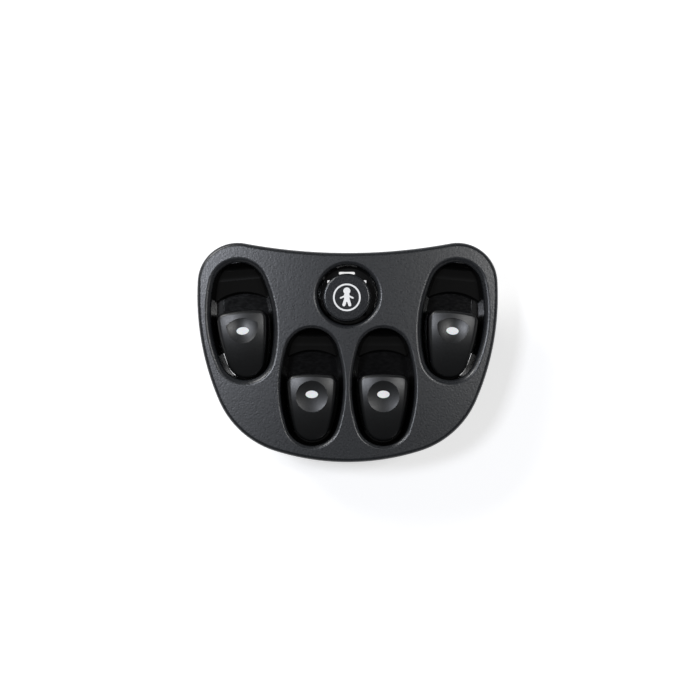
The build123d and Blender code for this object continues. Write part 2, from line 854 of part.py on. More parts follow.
# Fixed contacts: one rivet under each end of the rocking contact
def build_fixed_contacts(window):
    seat = moved(window.pivot, z=board_top - pivot_z)
    closed_level = contact_z - contact_thickness / 2 - contact_button_height - contact_closed_gap
    with BuildPart() as rivets:
        with BuildSketch(seat):
            with Locations((0, contact_button_reach), (0, -contact_button_reach)):
                Circle(rivet_diameter / 2)
        extrude(amount=closed_level - board_top)
        fillet(rivets.faces().filter_by(Axis.Z).group_by(Axis.Z)[-1].edges(), rivet_round)
    return rivets.part


# Indicator lamp: a small domed block on the board
def build_lamp(window):
    seat = moved(window.pivot, y=lamp_y, z=board_top - pivot_z)
    with BuildPart() as lamp:
        with BuildSketch(seat):
            Rectangle(lamp_length, lamp_width)
        extrude(amount=lamp_height)
        with BuildSketch(moved(seat, z=lamp_height)):
            Circle(lamp_dome_radius)
        extrude(amount=lamp_dome)
        fillet(lamp.faces().sort_by(Axis.Z)[-1].edges(), lamp_dome_round)
    return lamp.part


# Switch case: the tub under the plate, with a tower for each rocker and a collar for the lock button
with BuildPart() as switch_case:
    with BuildSketch(Plane.XY.offset(base_thickness)):
        case_outline(0)
    extrude(amount=deck_top - base_thickness)
    fillet(switch_case.faces().sort_by(Axis.Z)[-1].edges(), case_round)
    for window in windows:
        with BuildSketch(moved(window.pivot, z=deck_top - pivot_z)):
            with Locations((0, (tower_front - tower_tail) / 2)):
                Rectangle(2 * tower_half_width, tower_front + tower_tail)
        extrude(amount=tower_top - deck_top)
    with BuildSketch(Plane.XY.offset(deck_top)):
        with Locations((lock_x, lock_y)):
            Circle(collar_diameter / 2)
    extrude(amount=collar_top - deck_top)
    with BuildSketch(Plane.XY.offset(base_thickness)):
        case_outline(case_wall)
    extrude(amount=deck_bottom - base_thickness, mode=Mode.SUBTRACT)
    with BuildSketch(Plane.XY.offset(base_thickness)):
        with Locations(*screw_places):
            Circle(screw_bore / 2 + chimney_wall)
    extrude(amount=deck_bottom - base_thickness)
    with BuildSketch(Plane.XY.offset(base_thickness)):
        with Locations(*screw_places):
            Circle(screw_bore / 2)
    extrude(amount=deck_bottom - screw_seat_depth - base_thickness, mode=Mode.SUBTRACT)
    with BuildSketch(Plane.XY.offset(board_top)):
        with Locations(*pillar_places):
            Circle(pillar_diameter / 2)
    extrude(amount=deck_bottom - board_top)
    with BuildSketch(Plane.XY.offset(base_thickness)):
        with Locations(*screw_places):
            Circle(screw_hole / 2)
        with Locations((lock_x, lock_y)):
            Circle(collar_bore / 2)
            with Locations((0, collar_bore / 2)):
                Rectangle(key_rib_width + 2 * key_rib_gap, 2 * (key_rib_height + key_rib_gap))
    extrude(amount=collar_top - base_thickness, mode=Mode.SUBTRACT)
    for window in windows:
        with BuildSketch(moved(window.pivot, z=deck_bottom - pivot_z)):
            with Locations((0, (tower_front - tower_tail) / 2)):
                Rectangle(2 * (tower_half_width - tower_wall),
                          tower_front + tower_tail - 2 * tower_end_wall)
        extrude(amount=tower_top - deck_bottom, mode=Mode.SUBTRACT)
        for side in (-1, 1):
            with BuildSketch(side_view(moved(window.pivot, x=side * (tower_half_width - tower_wall / 2)))):
                Circle(trunnion_diameter / 2)
            extrude(amount=side * (trunnion_end - tower_half_width + tower_wall / 2))
    for plane in wall_planes(case_wall, snap_z):
        with BuildSketch(plane):
            Rectangle(2 * (case_wall + margin), snap_width + 2 * snap_gap)
        extrude(amount=(snap_height + snap_gap), mode=Mode.SUBTRACT)
    for side in (-1, 1):
        face = flank_plane(side, side_centre, side_radius - case_inset, radians(clip_angle), clip_bottom)
        with BuildSketch(moved(face, z=-clip_pad_margin)):
            with Locations((clip_pad, 0)):
                Rectangle(
                    clip_pad + case_wall, clip_width + 2 * clip_pad_margin,
                    align=(Align.MAX, Align.CENTER),
                )
        extrude(amount=clip_top - clip_bottom + 2 * clip_pad_margin)
        for height in (clip_bottom, clip_top - clip_thickness):
            with BuildSketch(moved(face, x=clip_pad, z=height - clip_bottom - clip_slot_gap)):
                Rectangle(2 * (clip_hook + clip_slot_gap), clip_width + 2 * clip_slot_gap)
            extrude(amount=clip_thickness + 2 * clip_slot_gap, mode=Mode.SUBTRACT)
switch_case.part.label = "switch_case"
export_step(switch_case.part, "parts/switch_case.step")

# Base cover: closes the case from below, with snaps, board pillars and openings for screws and plug
upstand_inset = case_wall + upstand_gap
with BuildPart() as base_cover:
    with BuildSketch():
        case_outline(0)
    extrude(amount=base_thickness)
    with BuildSketch(Plane.XY.offset(base_thickness)):
        case_outline(upstand_inset)
    extrude(amount=upstand_height)
    with BuildSketch(Plane.XY.offset(base_thickness)):
        case_outline(upstand_inset + upstand_wall)
        with Locations(*screw_places):
            Circle(screw_bore / 2 + chimney_wall + snap_gap)
    extrude(amount=upstand_height, mode=Mode.SUBTRACT)
    for plane in wall_planes(upstand_inset, snap_z + snap_gap / 2):
        reach = snap_reach + upstand_gap
        with BuildSketch(tail_view(plane)):
            with BuildLine():
                Polyline((-upstand_wall / 2, -snap_height), (0, -snap_height), (0, 0), (reach, 0),
                         (reach, snap_lead), (0, snap_height), (-upstand_wall / 2, snap_height),
                         close=True)
            make_face()
        extrude(amount=snap_width / 2, both=True)
    with BuildSketch(Plane.XY.offset(base_thickness)):
        with Locations(*pillar_places):
            Circle(pillar_diameter / 2)
    extrude(amount=board_bottom - base_thickness)
    with BuildSketch():
        with Locations(*screw_places):
            Circle(screw_bore / 2)
        with Locations((0, connector_y)):
            Rectangle(connector_length + 2 * connector_gap, connector_width + 2 * connector_gap)
    extrude(amount=base_thickness, mode=Mode.SUBTRACT)
base_cover.part.label = "base_cover"
export_step(base_cover.part, "parts/base_cover.step")


def pin_grid(size):
    with Locations((0, connector_y)):
        with GridLocations(pin_pitch, pin_pitch, pin_columns, pin_rows):
            Rectangle(size, size)


# Circuit board: held between the cover's pillars and the case's
with BuildPart() as circuit_board:
    with BuildSketch(Plane.XY.offset(board_bottom)):
        case_outline(case_wall + board_gap)
        with Locations(*screw_places):
            Circle(screw_bore / 2 + chimney_wall + board_gap, mode=Mode.SUBTRACT)
    extrude(amount=board_thickness)
    with BuildSketch(Plane.XY.offset(board_bottom)):
        pin_grid(pin_size + 2 * pin_hole_gap)
    extrude(amount=board_thickness, mode=Mode.SUBTRACT)
circuit_board.part.label = "circuit_board"
export_step(circuit_board.part, "parts/circuit_board.step")

# Connector shroud: a keyed socket that opens downwards through the base cover
with BuildPart() as connector_shroud:
    with BuildSketch():
        with Locations((0, connector_y)):
            Rectangle(connector_length, connector_width)
    extrude(amount=board_bottom)
    fillet(connector_shroud.edges().filter_by(Axis.Z), connector_wall / 2)
    with BuildSketch():
        with Locations((0, connector_y)):
            Rectangle(connector_length - 2 * connector_wall, connector_width - 2 * connector_wall)
            with Locations((0, connector_width / 2 - connector_wall)):
                Rectangle(key_width, 2 * key_depth)
    extrude(amount=connector_depth, mode=Mode.SUBTRACT)
    with BuildSketch(Plane.XY.offset(connector_depth)):
        pin_grid(pin_size + 2 * pin_hole_gap)
    extrude(amount=board_bottom - connector_depth, mode=Mode.SUBTRACT)
connector_shroud.part.label = "connector_shroud"
export_step(connector_shroud.part, "parts/connector_shroud.step")

# Connector pins: two rows of square pins from the board down into the socket
with BuildPart() as connector_pins:
    with BuildSketch(Plane.XY.offset(pin_tip_z)):
        pin_grid(pin_size)
    extrude(amount=board_top + pin_above_board - pin_tip_z)
    chamfer(connector_pins.faces().group_by(Axis.Z)[0].edges(), pin_size / 4)
connector_pins.part.label = "connector_pins"
export_step(connector_pins.part, "parts/connector_pins.step")

# Case screws: driven up through the case into the bezel's posts
with BuildPart() as case_screws:
    head_top = deck_bottom - screw_seat_depth
    with BuildSketch(Plane.XY.offset(head_top - screw_head_height)):
        with Locations(*screw_places):
            Circle(screw_head / 2)
    extrude(amount=screw_head_height)
    with BuildSketch(Plane.XY.offset(head_top)):
        with Locations(*screw_places):
            Circle(screw_shank / 2)
    extrude(amount=screw_length)
    with BuildSketch(Plane.XY.offset(head_top - screw_head_height)):
        with Locations(*screw_places):
            Rectangle(screw_cross, screw_cross_width)
            Rectangle(screw_cross_width, screw_cross)
    extrude(amount=screw_cross_depth, mode=Mode.SUBTRACT)
case_screws.part.label = "case_screws"
export_step(case_screws.part, "parts/case_screws.step")


# Retaining clip: a bowed leaf of spring steel hooked into the case's side pad
def build_clip(side):
    wall = flank_plane(side, side_centre, side_radius - case_inset, radians(clip_angle), 0)
    face = moved(wall, x=clip_pad)
    half = clip_thickness / 2
    stand = half + lens_gap
    with BuildPart() as clip:
        with BuildSketch(tail_view(face)):
            with BuildLine():
                FilletPolyline((-clip_hook, clip_top - half), (stand, clip_top - half),
                               (clip_bulge, clip_bulge_z), (stand, clip_bottom + half),
                               (-clip_hook, clip_bottom + half), radius=clip_bend)
            trace(line_width=clip_thickness)
        extrude(amount=clip_width / 2, both=True)
    return clip.part


for side, name in ((-1, "retaining_clip_left"), (1, "retaining_clip_right")):
    clip = build_clip(side)
    clip.label = name
    export_step(clip, f"parts/{name}.step")

lock_seat = Plane(origin=(lock_x, lock_y, 0), x_dir=(1, 0, 0), z_dir=(0, 0, 1))


def limb(start, end, width):
    SlotCenterPoint((Vector(*start) + Vector(*end)) / 2, Vector(*end), width)


# Symbol on the lock button: a plain standing figure inside a ring
def symbol_outline(grow):
    Circle(symbol_ring_radius + grow)
    Circle(symbol_ring_radius - symbol_line - grow, mode=Mode.SUBTRACT)
    with Locations((0, head_y)):
        Circle(head_radius + grow)
    limb((0, shoulder_y), (0, hip_y), body_width + 2 * grow)
    for side in (-1, 1):
        limb((0, shoulder_y), (side * hand_x, hand_y), symbol_line + 2 * grow)
        limb((side * hip_x, hip_y), (side * foot_x, foot_y), leg_width + 2 * grow)


# Lock button: a round cap over the case's collar, guided by a keyed stem
with BuildPart() as lock_button:
    with BuildSketch(moved(lock_seat, z=button_top - button_skirt)):
        Circle(button_diameter / 2)
    extrude(amount=button_skirt)
    fillet(lock_button.faces().sort_by(Axis.Z)[-1].edges(), button_round)
    with BuildSketch(moved(lock_seat, z=button_top - button_skirt)):
        Circle(button_diameter / 2 - button_wall)
    extrude(amount=button_skirt - button_roof, mode=Mode.SUBTRACT)
    with BuildSketch(moved(lock_seat, z=lock_plunger_top)):
        Circle(stem_diameter / 2)
        with Locations((0, stem_diameter / 2)):
            Rectangle(key_rib_width, 2 * key_rib_height)
    extrude(amount=button_top - button_roof - lock_plunger_top)
    with BuildSketch(moved(lock_seat, z=button_top)):
        symbol_outline(symbol_gap)
    extrude(amount=-symbol_depth, mode=Mode.SUBTRACT)
lock_button.part.label = "lock_button"
export_step(lock_button.part, "parts/lock_button.step")

with BuildPart() as lock_symbol:
    with BuildSketch(moved(lock_seat, z=button_top - symbol_depth)):
        symbol_outline(0)
    extrude(amount=symbol_depth + symbol_proud)
lock_symbol.part.label = "lock_symbol"
export_step(lock_symbol.part, "parts/lock_symbol.step")

# Lock switch: a sealed module on the board with its plunger and return spring
lock_module_top = board_top + lock_module_height
with BuildPart() as lock_switch_case:
    with BuildSketch(moved(lock_seat, z=board_top)):
        Rectangle(lock_module_size, lock_module_size)
    extrude(amount=lock_module_height)
    with BuildSketch(moved(lock_seat, z=board_top + lock_module_wall)):
        Rectangle(lock_module_size - 2 * lock_module_wall, lock_module_size - 2 * lock_module_wall)
    extrude(amount=lock_module_height - 2 * lock_module_wall, mode=Mode.SUBTRACT)
    with BuildSketch(moved(lock_seat, z=lock_module_top)):
        Circle(lock_plunger_diameter / 2 + lock_plunger_gap)
    extrude(amount=-2 * lock_module_wall, mode=Mode.SUBTRACT)
lock_switch_case.part.label = "lock_switch_case"
export_step(lock_switch_case.part, "parts/lock_switch_case.step")

with BuildPart() as lock_switch_plunger:
    with BuildSketch(moved(lock_seat, z=lock_flange_z - lock_flange_thickness)):
        Circle(lock_flange_diameter / 2)
    extrude(amount=lock_flange_thickness)
    with BuildSketch(moved(lock_seat, z=lock_flange_z)):
        Circle(lock_plunger_diameter / 2)
    extrude(amount=lock_plunger_top - lock_flange_z)
lock_switch_plunger.part.label = "lock_switch_plunger"
export_step(lock_switch_plunger.part, "parts/lock_switch_plunger.step")

spring_floor = board_top + lock_module_wall
lock_spring = build_spring(
    moved(lock_seat, z=spring_floor), lock_spring_radius, lock_spring_wire, lock_spring_turns,
    lock_flange_z - lock_flange_thickness - spring_floor,
)
lock_spring.label = "lock_spring"
export_step(lock_spring, "parts/lock_spring.step")

# Four rocker positions, each with its own set of pieces
plunger_top = plunger_length - plunger_reach
for window in windows:
    spring_seat = moved(window.pivot, z=plunger_top)
    pieces = {
        "rocker": build_rocker(window),
        "lens": build_lens(window),
        "plunger": build_plunger(window),
        "spring": build_spring(spring_seat, plunger_spring_radius, plunger_spring_wire,
                               plunger_spring_turns, bore_top - plunger_top),
        "rocking_contact": build_rocking_contact(window),
        "contact_cradle": build_cradle(window),
        "fixed_contacts": build_fixed_contacts(window),
        "lamp": build_lamp(window),
    }
    for piece, solid in pieces.items():
        solid.label = f"{window.name}_{piece}"
        export_step(solid, f"parts/{solid.label}.step")
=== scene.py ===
import json
from math import atan, cos, radians, sin

import bpy
from mathutils import Matrix, Vector

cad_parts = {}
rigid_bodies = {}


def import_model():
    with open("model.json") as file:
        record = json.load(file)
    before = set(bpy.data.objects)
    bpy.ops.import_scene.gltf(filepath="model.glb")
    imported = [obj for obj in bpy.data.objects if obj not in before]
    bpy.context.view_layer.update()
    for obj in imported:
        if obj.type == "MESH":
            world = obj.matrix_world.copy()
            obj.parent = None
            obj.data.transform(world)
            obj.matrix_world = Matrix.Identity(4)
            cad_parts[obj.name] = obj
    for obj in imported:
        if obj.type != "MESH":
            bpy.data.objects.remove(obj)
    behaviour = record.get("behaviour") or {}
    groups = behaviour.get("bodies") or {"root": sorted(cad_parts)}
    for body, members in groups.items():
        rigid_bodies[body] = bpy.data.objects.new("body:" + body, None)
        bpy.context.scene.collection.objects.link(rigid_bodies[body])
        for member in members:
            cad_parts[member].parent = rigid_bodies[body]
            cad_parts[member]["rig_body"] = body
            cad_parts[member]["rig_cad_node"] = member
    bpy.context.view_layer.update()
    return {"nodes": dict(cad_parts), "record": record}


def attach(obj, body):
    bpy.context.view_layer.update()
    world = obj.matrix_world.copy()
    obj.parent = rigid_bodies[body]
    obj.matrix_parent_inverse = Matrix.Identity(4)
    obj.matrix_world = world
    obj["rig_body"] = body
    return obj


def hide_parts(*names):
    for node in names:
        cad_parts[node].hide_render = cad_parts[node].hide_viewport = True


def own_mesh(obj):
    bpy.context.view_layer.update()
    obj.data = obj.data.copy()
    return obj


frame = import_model()
nodes = frame["nodes"]
bpy.ops.object.select_all(action="DESELECT")
print("frame loaded:", len(nodes), "CAD nodes")


def linear(hexColour):
    # an sRGB hex value as the linear colour that a socket takes
    values = [int(hexColour[i:i + 2], 16) / 255 for i in (1, 3, 5)]
    return [v / 12.92 if v <= 0.04045 else ((v + 0.055) / 1.055) ** 2.4 for v in values] + [1]


def perMetre(millimetres):
    # pattern scale for a feature of this size, as Object coordinates are in metres
    return 1000 / millimetres


def addNode(tree, kind, settings=None, links=None):
    # settings named after a property go there, the rest are input sockets
    node = tree.nodes.new(kind)
    for name, value in (settings or {}).items():
        if isinstance(name, str) and hasattr(node, name):
            setattr(node, name, value)
        else:
            node.inputs[name].default_value = value
    for name, source in (links or {}).items():
        tree.links.new(source, node.inputs[name])
    return node


def setRamp(ramp, stops):
    # a new ramp has two stops, and every ramp here keeps two
    for element, (place, colour) in zip(ramp.color_ramp.elements, stops):
        element.position = place
        element.color = colour


def grey(value):
    return [value, value, value, 1]


def newMaterial(name, shader):
    # a material whose constant values all sit on its Principled shader
    material = bpy.data.materials.new(name)
    material.use_nodes = True
    tree = material.node_tree
    principled = tree.nodes["Principled BSDF"]
    for socket, value in shader.items():
        principled.inputs[socket].default_value = value
    place = addNode(tree, "ShaderNodeTexCoord").outputs["Object"]
    return material, tree, principled, place


# What all the mouldings share: how ragged the patterns are, which part of each one is used, and how many
# times flatter the grain is where the tool was polished
moulding = {
    "driftDetail": 2.0, "driftRoughness": 0.5, "driftStops": (0.3, 0.7),
    "grainDetail": 3.0, "grainRoughness": 0.55, "grainRange": (0.35, 0.65),
    "pitSmoothness": 0.6, "heightRange": (0.7, 1.3), "polishFlattens": 6,
}


def mouldedPlastic(name, look, polishAndShadePart=None):
    # injection-moulded plastic: grain from the spark-eroded tool, faint shade drift as the melt cooled,
    # and a gloss that varies a little with the tool's wear
    material, tree, shader, place = newMaterial(name, look["shader"])
    mapped = addNode(tree, "ShaderNodeMapping", {"Scale": look.get("stretch", (1, 1, 1))},
                     {"Vector": place})
    drift = addNode(tree, "ShaderNodeTexNoise",
                    {"Scale": perMetre(look["driftSize"]), "Detail": moulding["driftDetail"],
                     "Roughness": moulding["driftRoughness"]},
                    {"Vector": mapped.outputs["Vector"]})
    tint = addNode(tree, "ShaderNodeValToRGB", links={"Fac": drift.outputs["Fac"]})
    setRamp(tint, zip(moulding["driftStops"], (linear(look["dark"]), linear(look["light"]))))
    grain = addNode(tree, "ShaderNodeTexNoise",
                    {"Scale": perMetre(look["grainSize"]), "Detail": moulding["grainDetail"],
                     "Roughness": moulding["grainRoughness"]},
                    {"Vector": mapped.outputs["Vector"]})
    pits = addNode(tree, "ShaderNodeTexVoronoi",
                   {"feature": "SMOOTH_F1", "Scale": perMetre(look["pitSize"]),
                    "Smoothness": moulding["pitSmoothness"]},
                   {"Vector": mapped.outputs["Vector"]})
    height = addNode(tree, "ShaderNodeMath", {"operation": "ADD"},
                     {0: grain.outputs["Fac"], 1: pits.outputs["Distance"]})
    speck = addNode(tree, "ShaderNodeMapRange",
                    {"From Min": moulding["heightRange"][0], "From Max": moulding["heightRange"][1],
                     "To Min": 1 - look["speck"], "To Max": 1 + look["speck"]},
                    {"Value": height.outputs["Value"]})
    shade = addNode(tree, "ShaderNodeMix", {"data_type": "RGBA", "blend_type": "MULTIPLY", "Factor": 1.0},
                    {6: tint.outputs["Color"], 7: speck.outputs["Result"]})
    colour = shade.outputs[2]
    gloss = addNode(tree, "ShaderNodeMapRange",
                    {"From Min": moulding["grainRange"][0], "From Max": moulding["grainRange"][1],
                     "To Min": look["smooth"], "To Max": look["rough"]},
                    {"Value": grain.outputs["Fac"]})
    roughness = gloss.outputs["Result"]
    bump = addNode(tree, "ShaderNodeBump", {"Strength": look["bump"], "Distance": look["depth"] / 1000},
                   {"Height": height.outputs["Value"]})
    if polishAndShadePart:
        # where the tool was left polished, the plastic is shinier and has no grain; its colour is also
        # painted blacker there, as painted shade in the deep wells
        mask = polishAndShadePart(tree, place)
        colour = addNode(tree, "ShaderNodeMix", {"data_type": "RGBA", 7: linear(look["polishAndShadeColour"])},
                         {0: mask, 6: colour}).outputs[2]
        roughness = addNode(tree, "ShaderNodeMix", {"data_type": "FLOAT", 3: look["polishedRough"]},
                            {0: mask, 2: roughness}).outputs[0]
        strength = addNode(tree, "ShaderNodeMapRange",
                           {"To Min": look["bump"], "To Max": look["bump"] / moulding["polishFlattens"]},
                           {"Value": mask})
        tree.links.new(strength.outputs["Result"], bump.inputs["Strength"])
    tree.links.new(colour, shader.inputs["Base Color"])
    tree.links.new(roughness, shader.inputs["Roughness"])
    tree.links.new(bump.outputs["Normal"], shader.inputs["Normal"])
    return material


# The wells in the bezel, in millimetres: centre, lean in degrees and half sizes of the oval. The polish,
# and the painted shade that darkens the wells' colour, fade out at "edge" times that size and grow with
# depth below the plate. The grain is etched on the plate alone, because deep walls with grain would drag in
# the tool.
wells = {
    "ovals": ((-41.4, 12.3, 5.5, 13.6, 24.4), (41.4, 12.3, -5.5, 13.6, 24.4),
              (-14.0, -13.6, 0, 13.3, 24.2), (14.0, -13.6, 0, 13.3, 24.2), (0.1, 22.4, 0, 12.9, 12.9)),
    "edge": 1.06, "plateTop": 37.8, "crownRadius": 1200.0, "grainEnds": 1.2, "polishAndShadeStarts": 2.4,
}


def wellPolishAndShadeMask(tree, place):
    # 1 on what lies inside a well and below the plate's skin, 0 elsewhere: there the bezel is polished, and
    # its colour is painted darker as shade
    inside = None
    for x, y, lean, halfWidth, halfLength in wells["ovals"]:
        unit = addNode(tree, "ShaderNodeMapping",
                       {"vector_type": "TEXTURE", "Location": (x / 1000, y / 1000, 0),
                        "Rotation": (0, 0, radians(lean)),
                        "Scale": (halfWidth / 1000, halfLength / 1000, 1)},
                       {"Vector": place})
        flat = addNode(tree, "ShaderNodeVectorMath", {"operation": "MULTIPLY", 1: (1, 1, 0)},
                       {0: unit.outputs["Vector"]})
        away = addNode(tree, "ShaderNodeVectorMath", {"operation": "LENGTH"},
                       {0: flat.outputs["Vector"]})
        oval = addNode(tree, "ShaderNodeMapRange",
                       {"From Min": 1, "From Max": wells["edge"], "To Min": 1, "To Max": 0},
                       {"Value": away.outputs["Value"]}).outputs["Result"]
        inside = oval if inside is None else addNode(
            tree, "ShaderNodeMath", {"operation": "MAXIMUM"}, {0: inside, 1: oval}).outputs["Value"]
    axes = addNode(tree, "ShaderNodeSeparateXYZ", links={"Vector": place})
    square = addNode(tree, "ShaderNodeMath", {"operation": "MULTIPLY"},
                     {0: axes.outputs["X"], 1: axes.outputs["X"]})
    # the plate falls away from its middle by x * x / (2 * radius), so that much is added back to z
    raised = addNode(tree, "ShaderNodeMath",
                     {"operation": "MULTIPLY_ADD", 1: 1000 / (2 * wells["crownRadius"])},
                     {0: square.outputs["Value"], 2: axes.outputs["Z"]})
    below = addNode(tree, "ShaderNodeMapRange",
                    {"From Min": (wells["plateTop"] - wells["grainEnds"]) / 1000,
                     "From Max": (wells["plateTop"] - wells["polishAndShadeStarts"]) / 1000},
                    {"Value": raised.outputs["Value"]})
    return addNode(tree, "ShaderNodeMath", {"operation": "MULTIPLY"},
                   {0: inside, 1: below.outputs["Result"]}).outputs["Value"]


# Bezel: charcoal ABS from a spark-eroded tool, a dry matt skin with a fine even grain. The real grain is
# about 0.3 mm across; it is drawn at 0.6 to 0.8 mm so that it shows at this distance.
bezelLook = {
    "shader": {"IOR": 1.54, "Specular IOR Level": 0.5},
    "dark": "#1c1e21", "light": "#222427", "driftSize": 40, "speck": 0.14,
    "grainSize": 0.6, "pitSize": 0.8, "smooth": 0.27, "rough": 0.34, "bump": 0.42, "depth": 0.05,
    # inside the wells the colour is painted near-black as painted shade; the lower roughness there is the
    # tool's polish
    "polishAndShadeColour": "#090909", "polishedRough": 0.17,
}

# Rockers: near-black ABS from a finely blasted tool, so the skin is satin and takes a soft broad highlight
rockerLook = {
    "shader": {"IOR": 1.54, "Specular IOR Level": 0.5},
    "dark": "#0d0e0f", "light": "#111213", "driftSize": 12, "speck": 0.06,
    "grainSize": 0.45, "pitSize": 0.6, "smooth": 0.31, "rough": 0.37, "bump": 0.2, "depth": 0.02,
}

# Push button: the bezel's ABS in a finer grain, with faint greyer patches at random
buttonLook = {
    "shader": {"IOR": 1.54, "Specular IOR Level": 0.5},
    "dark": "#191b1e", "light": "#1f2124", "driftSize": 9, "speck": 0.08,
    "grainSize": 0.5, "pitSize": 0.7, "smooth": 0.2, "rough": 0.28, "bump": 0.15, "depth": 0.03,
}

# Switch case: glass-filled PBT, whose fibres lie along the flow and leave short faint streaks
caseLook = {
    "shader": {"IOR": 1.55, "Specular IOR Level": 0.15},
    "dark": "#09090a", "light": "#0d0d0e", "driftSize": 18, "speck": 0.12, "stretch": (0.35, 1, 1),
    "grainSize": 0.6, "pitSize": 1.1, "smooth": 0.14, "rough": 0.22, "bump": 0.1, "depth": 0.015,
}

# Base cover: the same PBT, from a plainer tool that leaves it flatter and duller
coverLook = {
    "shader": {"IOR": 1.55, "Specular IOR Level": 0.5},
    "dark": "#18181a", "light": "#1f1f21", "driftSize": 25, "speck": 0.1, "stretch": (1, 0.4, 1),
    "grainSize": 0.7, "pitSize": 1.3, "smooth": 0.5, "rough": 0.64, "bump": 0.22, "depth": 0.04,
}

# Connector shroud: unfilled nylon, waxy and smooth with a slightly brown black
nylonLook = {
    "shader": {"IOR": 1.53, "Specular IOR Level": 0.5},
    "dark": "#1c1b1a", "light": "#242321", "driftSize": 10, "speck": 0.05,
    "grainSize": 0.8, "pitSize": 1.5, "smooth": 0.28, "rough": 0.4, "bump": 0.1, "depth": 0.03,
}

# Push module: glossy black phenolic with small dull patches
moduleLook = {
    "shader": {"IOR": 1.6, "Specular IOR Level": 0.5},
    "dark": "#1e1a18", "light": "#27211e", "driftSize": 4, "speck": 0.06,
    "grainSize": 0.5, "pitSize": 0.9, "smooth": 0.22, "rough": 0.38, "bump": 0.1, "depth": 0.02,
}

# Plungers: natural acetal, ivory white and slippery, with the light sinking a little way in
acetalLook = {
    "shader": {"IOR": 1.48, "Subsurface Weight": 0.15, "Subsurface Scale": 0.001},
    "dark": "#d9d5c8", "light": "#e6e2d6", "driftSize": 3, "speck": 0.02,
    "grainSize": 0.5, "pitSize": 0.8, "smooth": 0.26, "rough": 0.36, "bump": 0.06, "depth": 0.02,
}

# Marker lenses: opal acrylic over a lamp, milky white with a clear glossy skin, and a slight painted glow
# that lifts them to white
lensLook = {
    "shader": {"IOR": 1.49, "Subsurface Weight": 0.2, "Subsurface Scale": 0.0008, "Coat Weight": 0.3,
               "Coat Roughness": 0.08, "Emission Color": linear("#ffffff"), "Emission Strength": 0.06},
    "dark": "#f3f4f4", "light": "#fcfcfb", "driftSize": 2, "speck": 0.01,
    "grainSize": 0.5, "pitSize": 0.9, "smooth": 0.2, "rough": 0.28, "bump": 0.04, "depth": 0.02,
}

# Symbol: white pad-printing ink, flat and even, with the faint orange peel of a thick wet coat, and a
# slight painted glow that lifts it to white
inkLook = {
    "shader": {"IOR": 1.5, "Emission Color": linear("#ffffff"), "Emission Strength": 0.06},
    "dark": "#f0f1f1", "light": "#fafafa", "driftSize": 3, "speck": 0.015,
    "grainSize": 0.35, "pitSize": 0.5, "smooth": 0.5, "rough": 0.62, "bump": 0.12, "depth": 0.02,
}

# Lamps: clear epoxy over a pale lead frame, seen as a warm milky bead
resinLook = {
    "shader": {"IOR": 1.52, "Subsurface Weight": 0.3, "Subsurface Scale": 0.001, "Coat Weight": 0.5,
               "Coat Roughness": 0.05},
    "dark": "#d8d3bd", "light": "#ece9da", "driftSize": 1.5, "speck": 0.02,
    "grainSize": 0.4, "pitSize": 0.8, "smooth": 0.12, "rough": 0.2, "bump": 0.03, "depth": 0.02,
}

finishes = {
    "bezel_plastic": mouldedPlastic("charcoalGrainedAbs", bezelLook, wellPolishAndShadeMask),
    "rocker_plastic": mouldedPlastic("satinBlackAbs", rockerLook),
    "button_plastic": mouldedPlastic("charcoalFineAbs", buttonLook),
    "case_plastic": mouldedPlastic("glassFilledPbt", caseLook),
    "cover_plastic": mouldedPlastic("flatBlackPbt", coverLook),
    "connector_plastic": mouldedPlastic("blackNylon", nylonLook),
    "module_plastic": mouldedPlastic("blackPhenolic", moduleLook),
    "module_plunger_plastic": mouldedPlastic("modulePlungerAcetal", acetalLook),
    "plunger_plastic": mouldedPlastic("naturalAcetal", acetalLook),
    "lens_plastic": mouldedPlastic("opalAcrylic", lensLook),
    "symbol_ink": mouldedPlastic("whitePadInk", inkLook),
    "lamp_resin": mouldedPlastic("lampEpoxy", resinLook),
}
print("plastics made")


# What all the metals share: how ragged the lines and the tarnish are, and which part of each is used
working = {
    "lineDetail": 4.0, "lineRoughness": 0.6, "lineRange": (0.3, 0.7),
    "tarnishDetail": 3.0, "tarnishRoughness": 0.5, "tarnishStops": (0.35, 0.7),
}


def workedMetal(name, look):
    # rolled, drawn or plated metal: fine lines along the way it was worked, and a thin patchy tarnish
    material, tree, shader, place = newMaterial(name, look["shader"])
    mapped = addNode(tree, "ShaderNodeMapping", {"Scale": look["stretch"]}, {"Vector": place})
    lines = addNode(tree, "ShaderNodeTexNoise",
                    {"Scale": perMetre(look["lineSize"]), "Detail": working["lineDetail"],
                     "Roughness": working["lineRoughness"]},
                    {"Vector": mapped.outputs["Vector"]})
    tarnish = addNode(tree, "ShaderNodeTexNoise",
                      {"Scale": perMetre(look["tarnishSize"]), "Detail": working["tarnishDetail"],
                       "Roughness": working["tarnishRoughness"]},
                      {"Vector": place})
    tint = addNode(tree, "ShaderNodeValToRGB", links={"Fac": tarnish.outputs["Fac"]})
    setRamp(tint, zip(working["tarnishStops"], (linear(look["bright"]), linear(look["dull"]))))
    tree.links.new(tint.outputs["Color"], shader.inputs["Base Color"])
    gloss = addNode(tree, "ShaderNodeMapRange",
                    {"From Min": working["lineRange"][0], "From Max": working["lineRange"][1],
                     "To Min": look["smooth"], "To Max": look["rough"]},
                    {"Value": lines.outputs["Fac"]})
    tree.links.new(gloss.outputs["Result"], shader.inputs["Roughness"])
    bump = addNode(tree, "ShaderNodeBump", {"Strength": look["bump"], "Distance": look["depth"] / 1000},
                   {"Height": lines.outputs["Fac"]})
    tree.links.new(bump.outputs["Normal"], shader.inputs["Normal"])
    return material


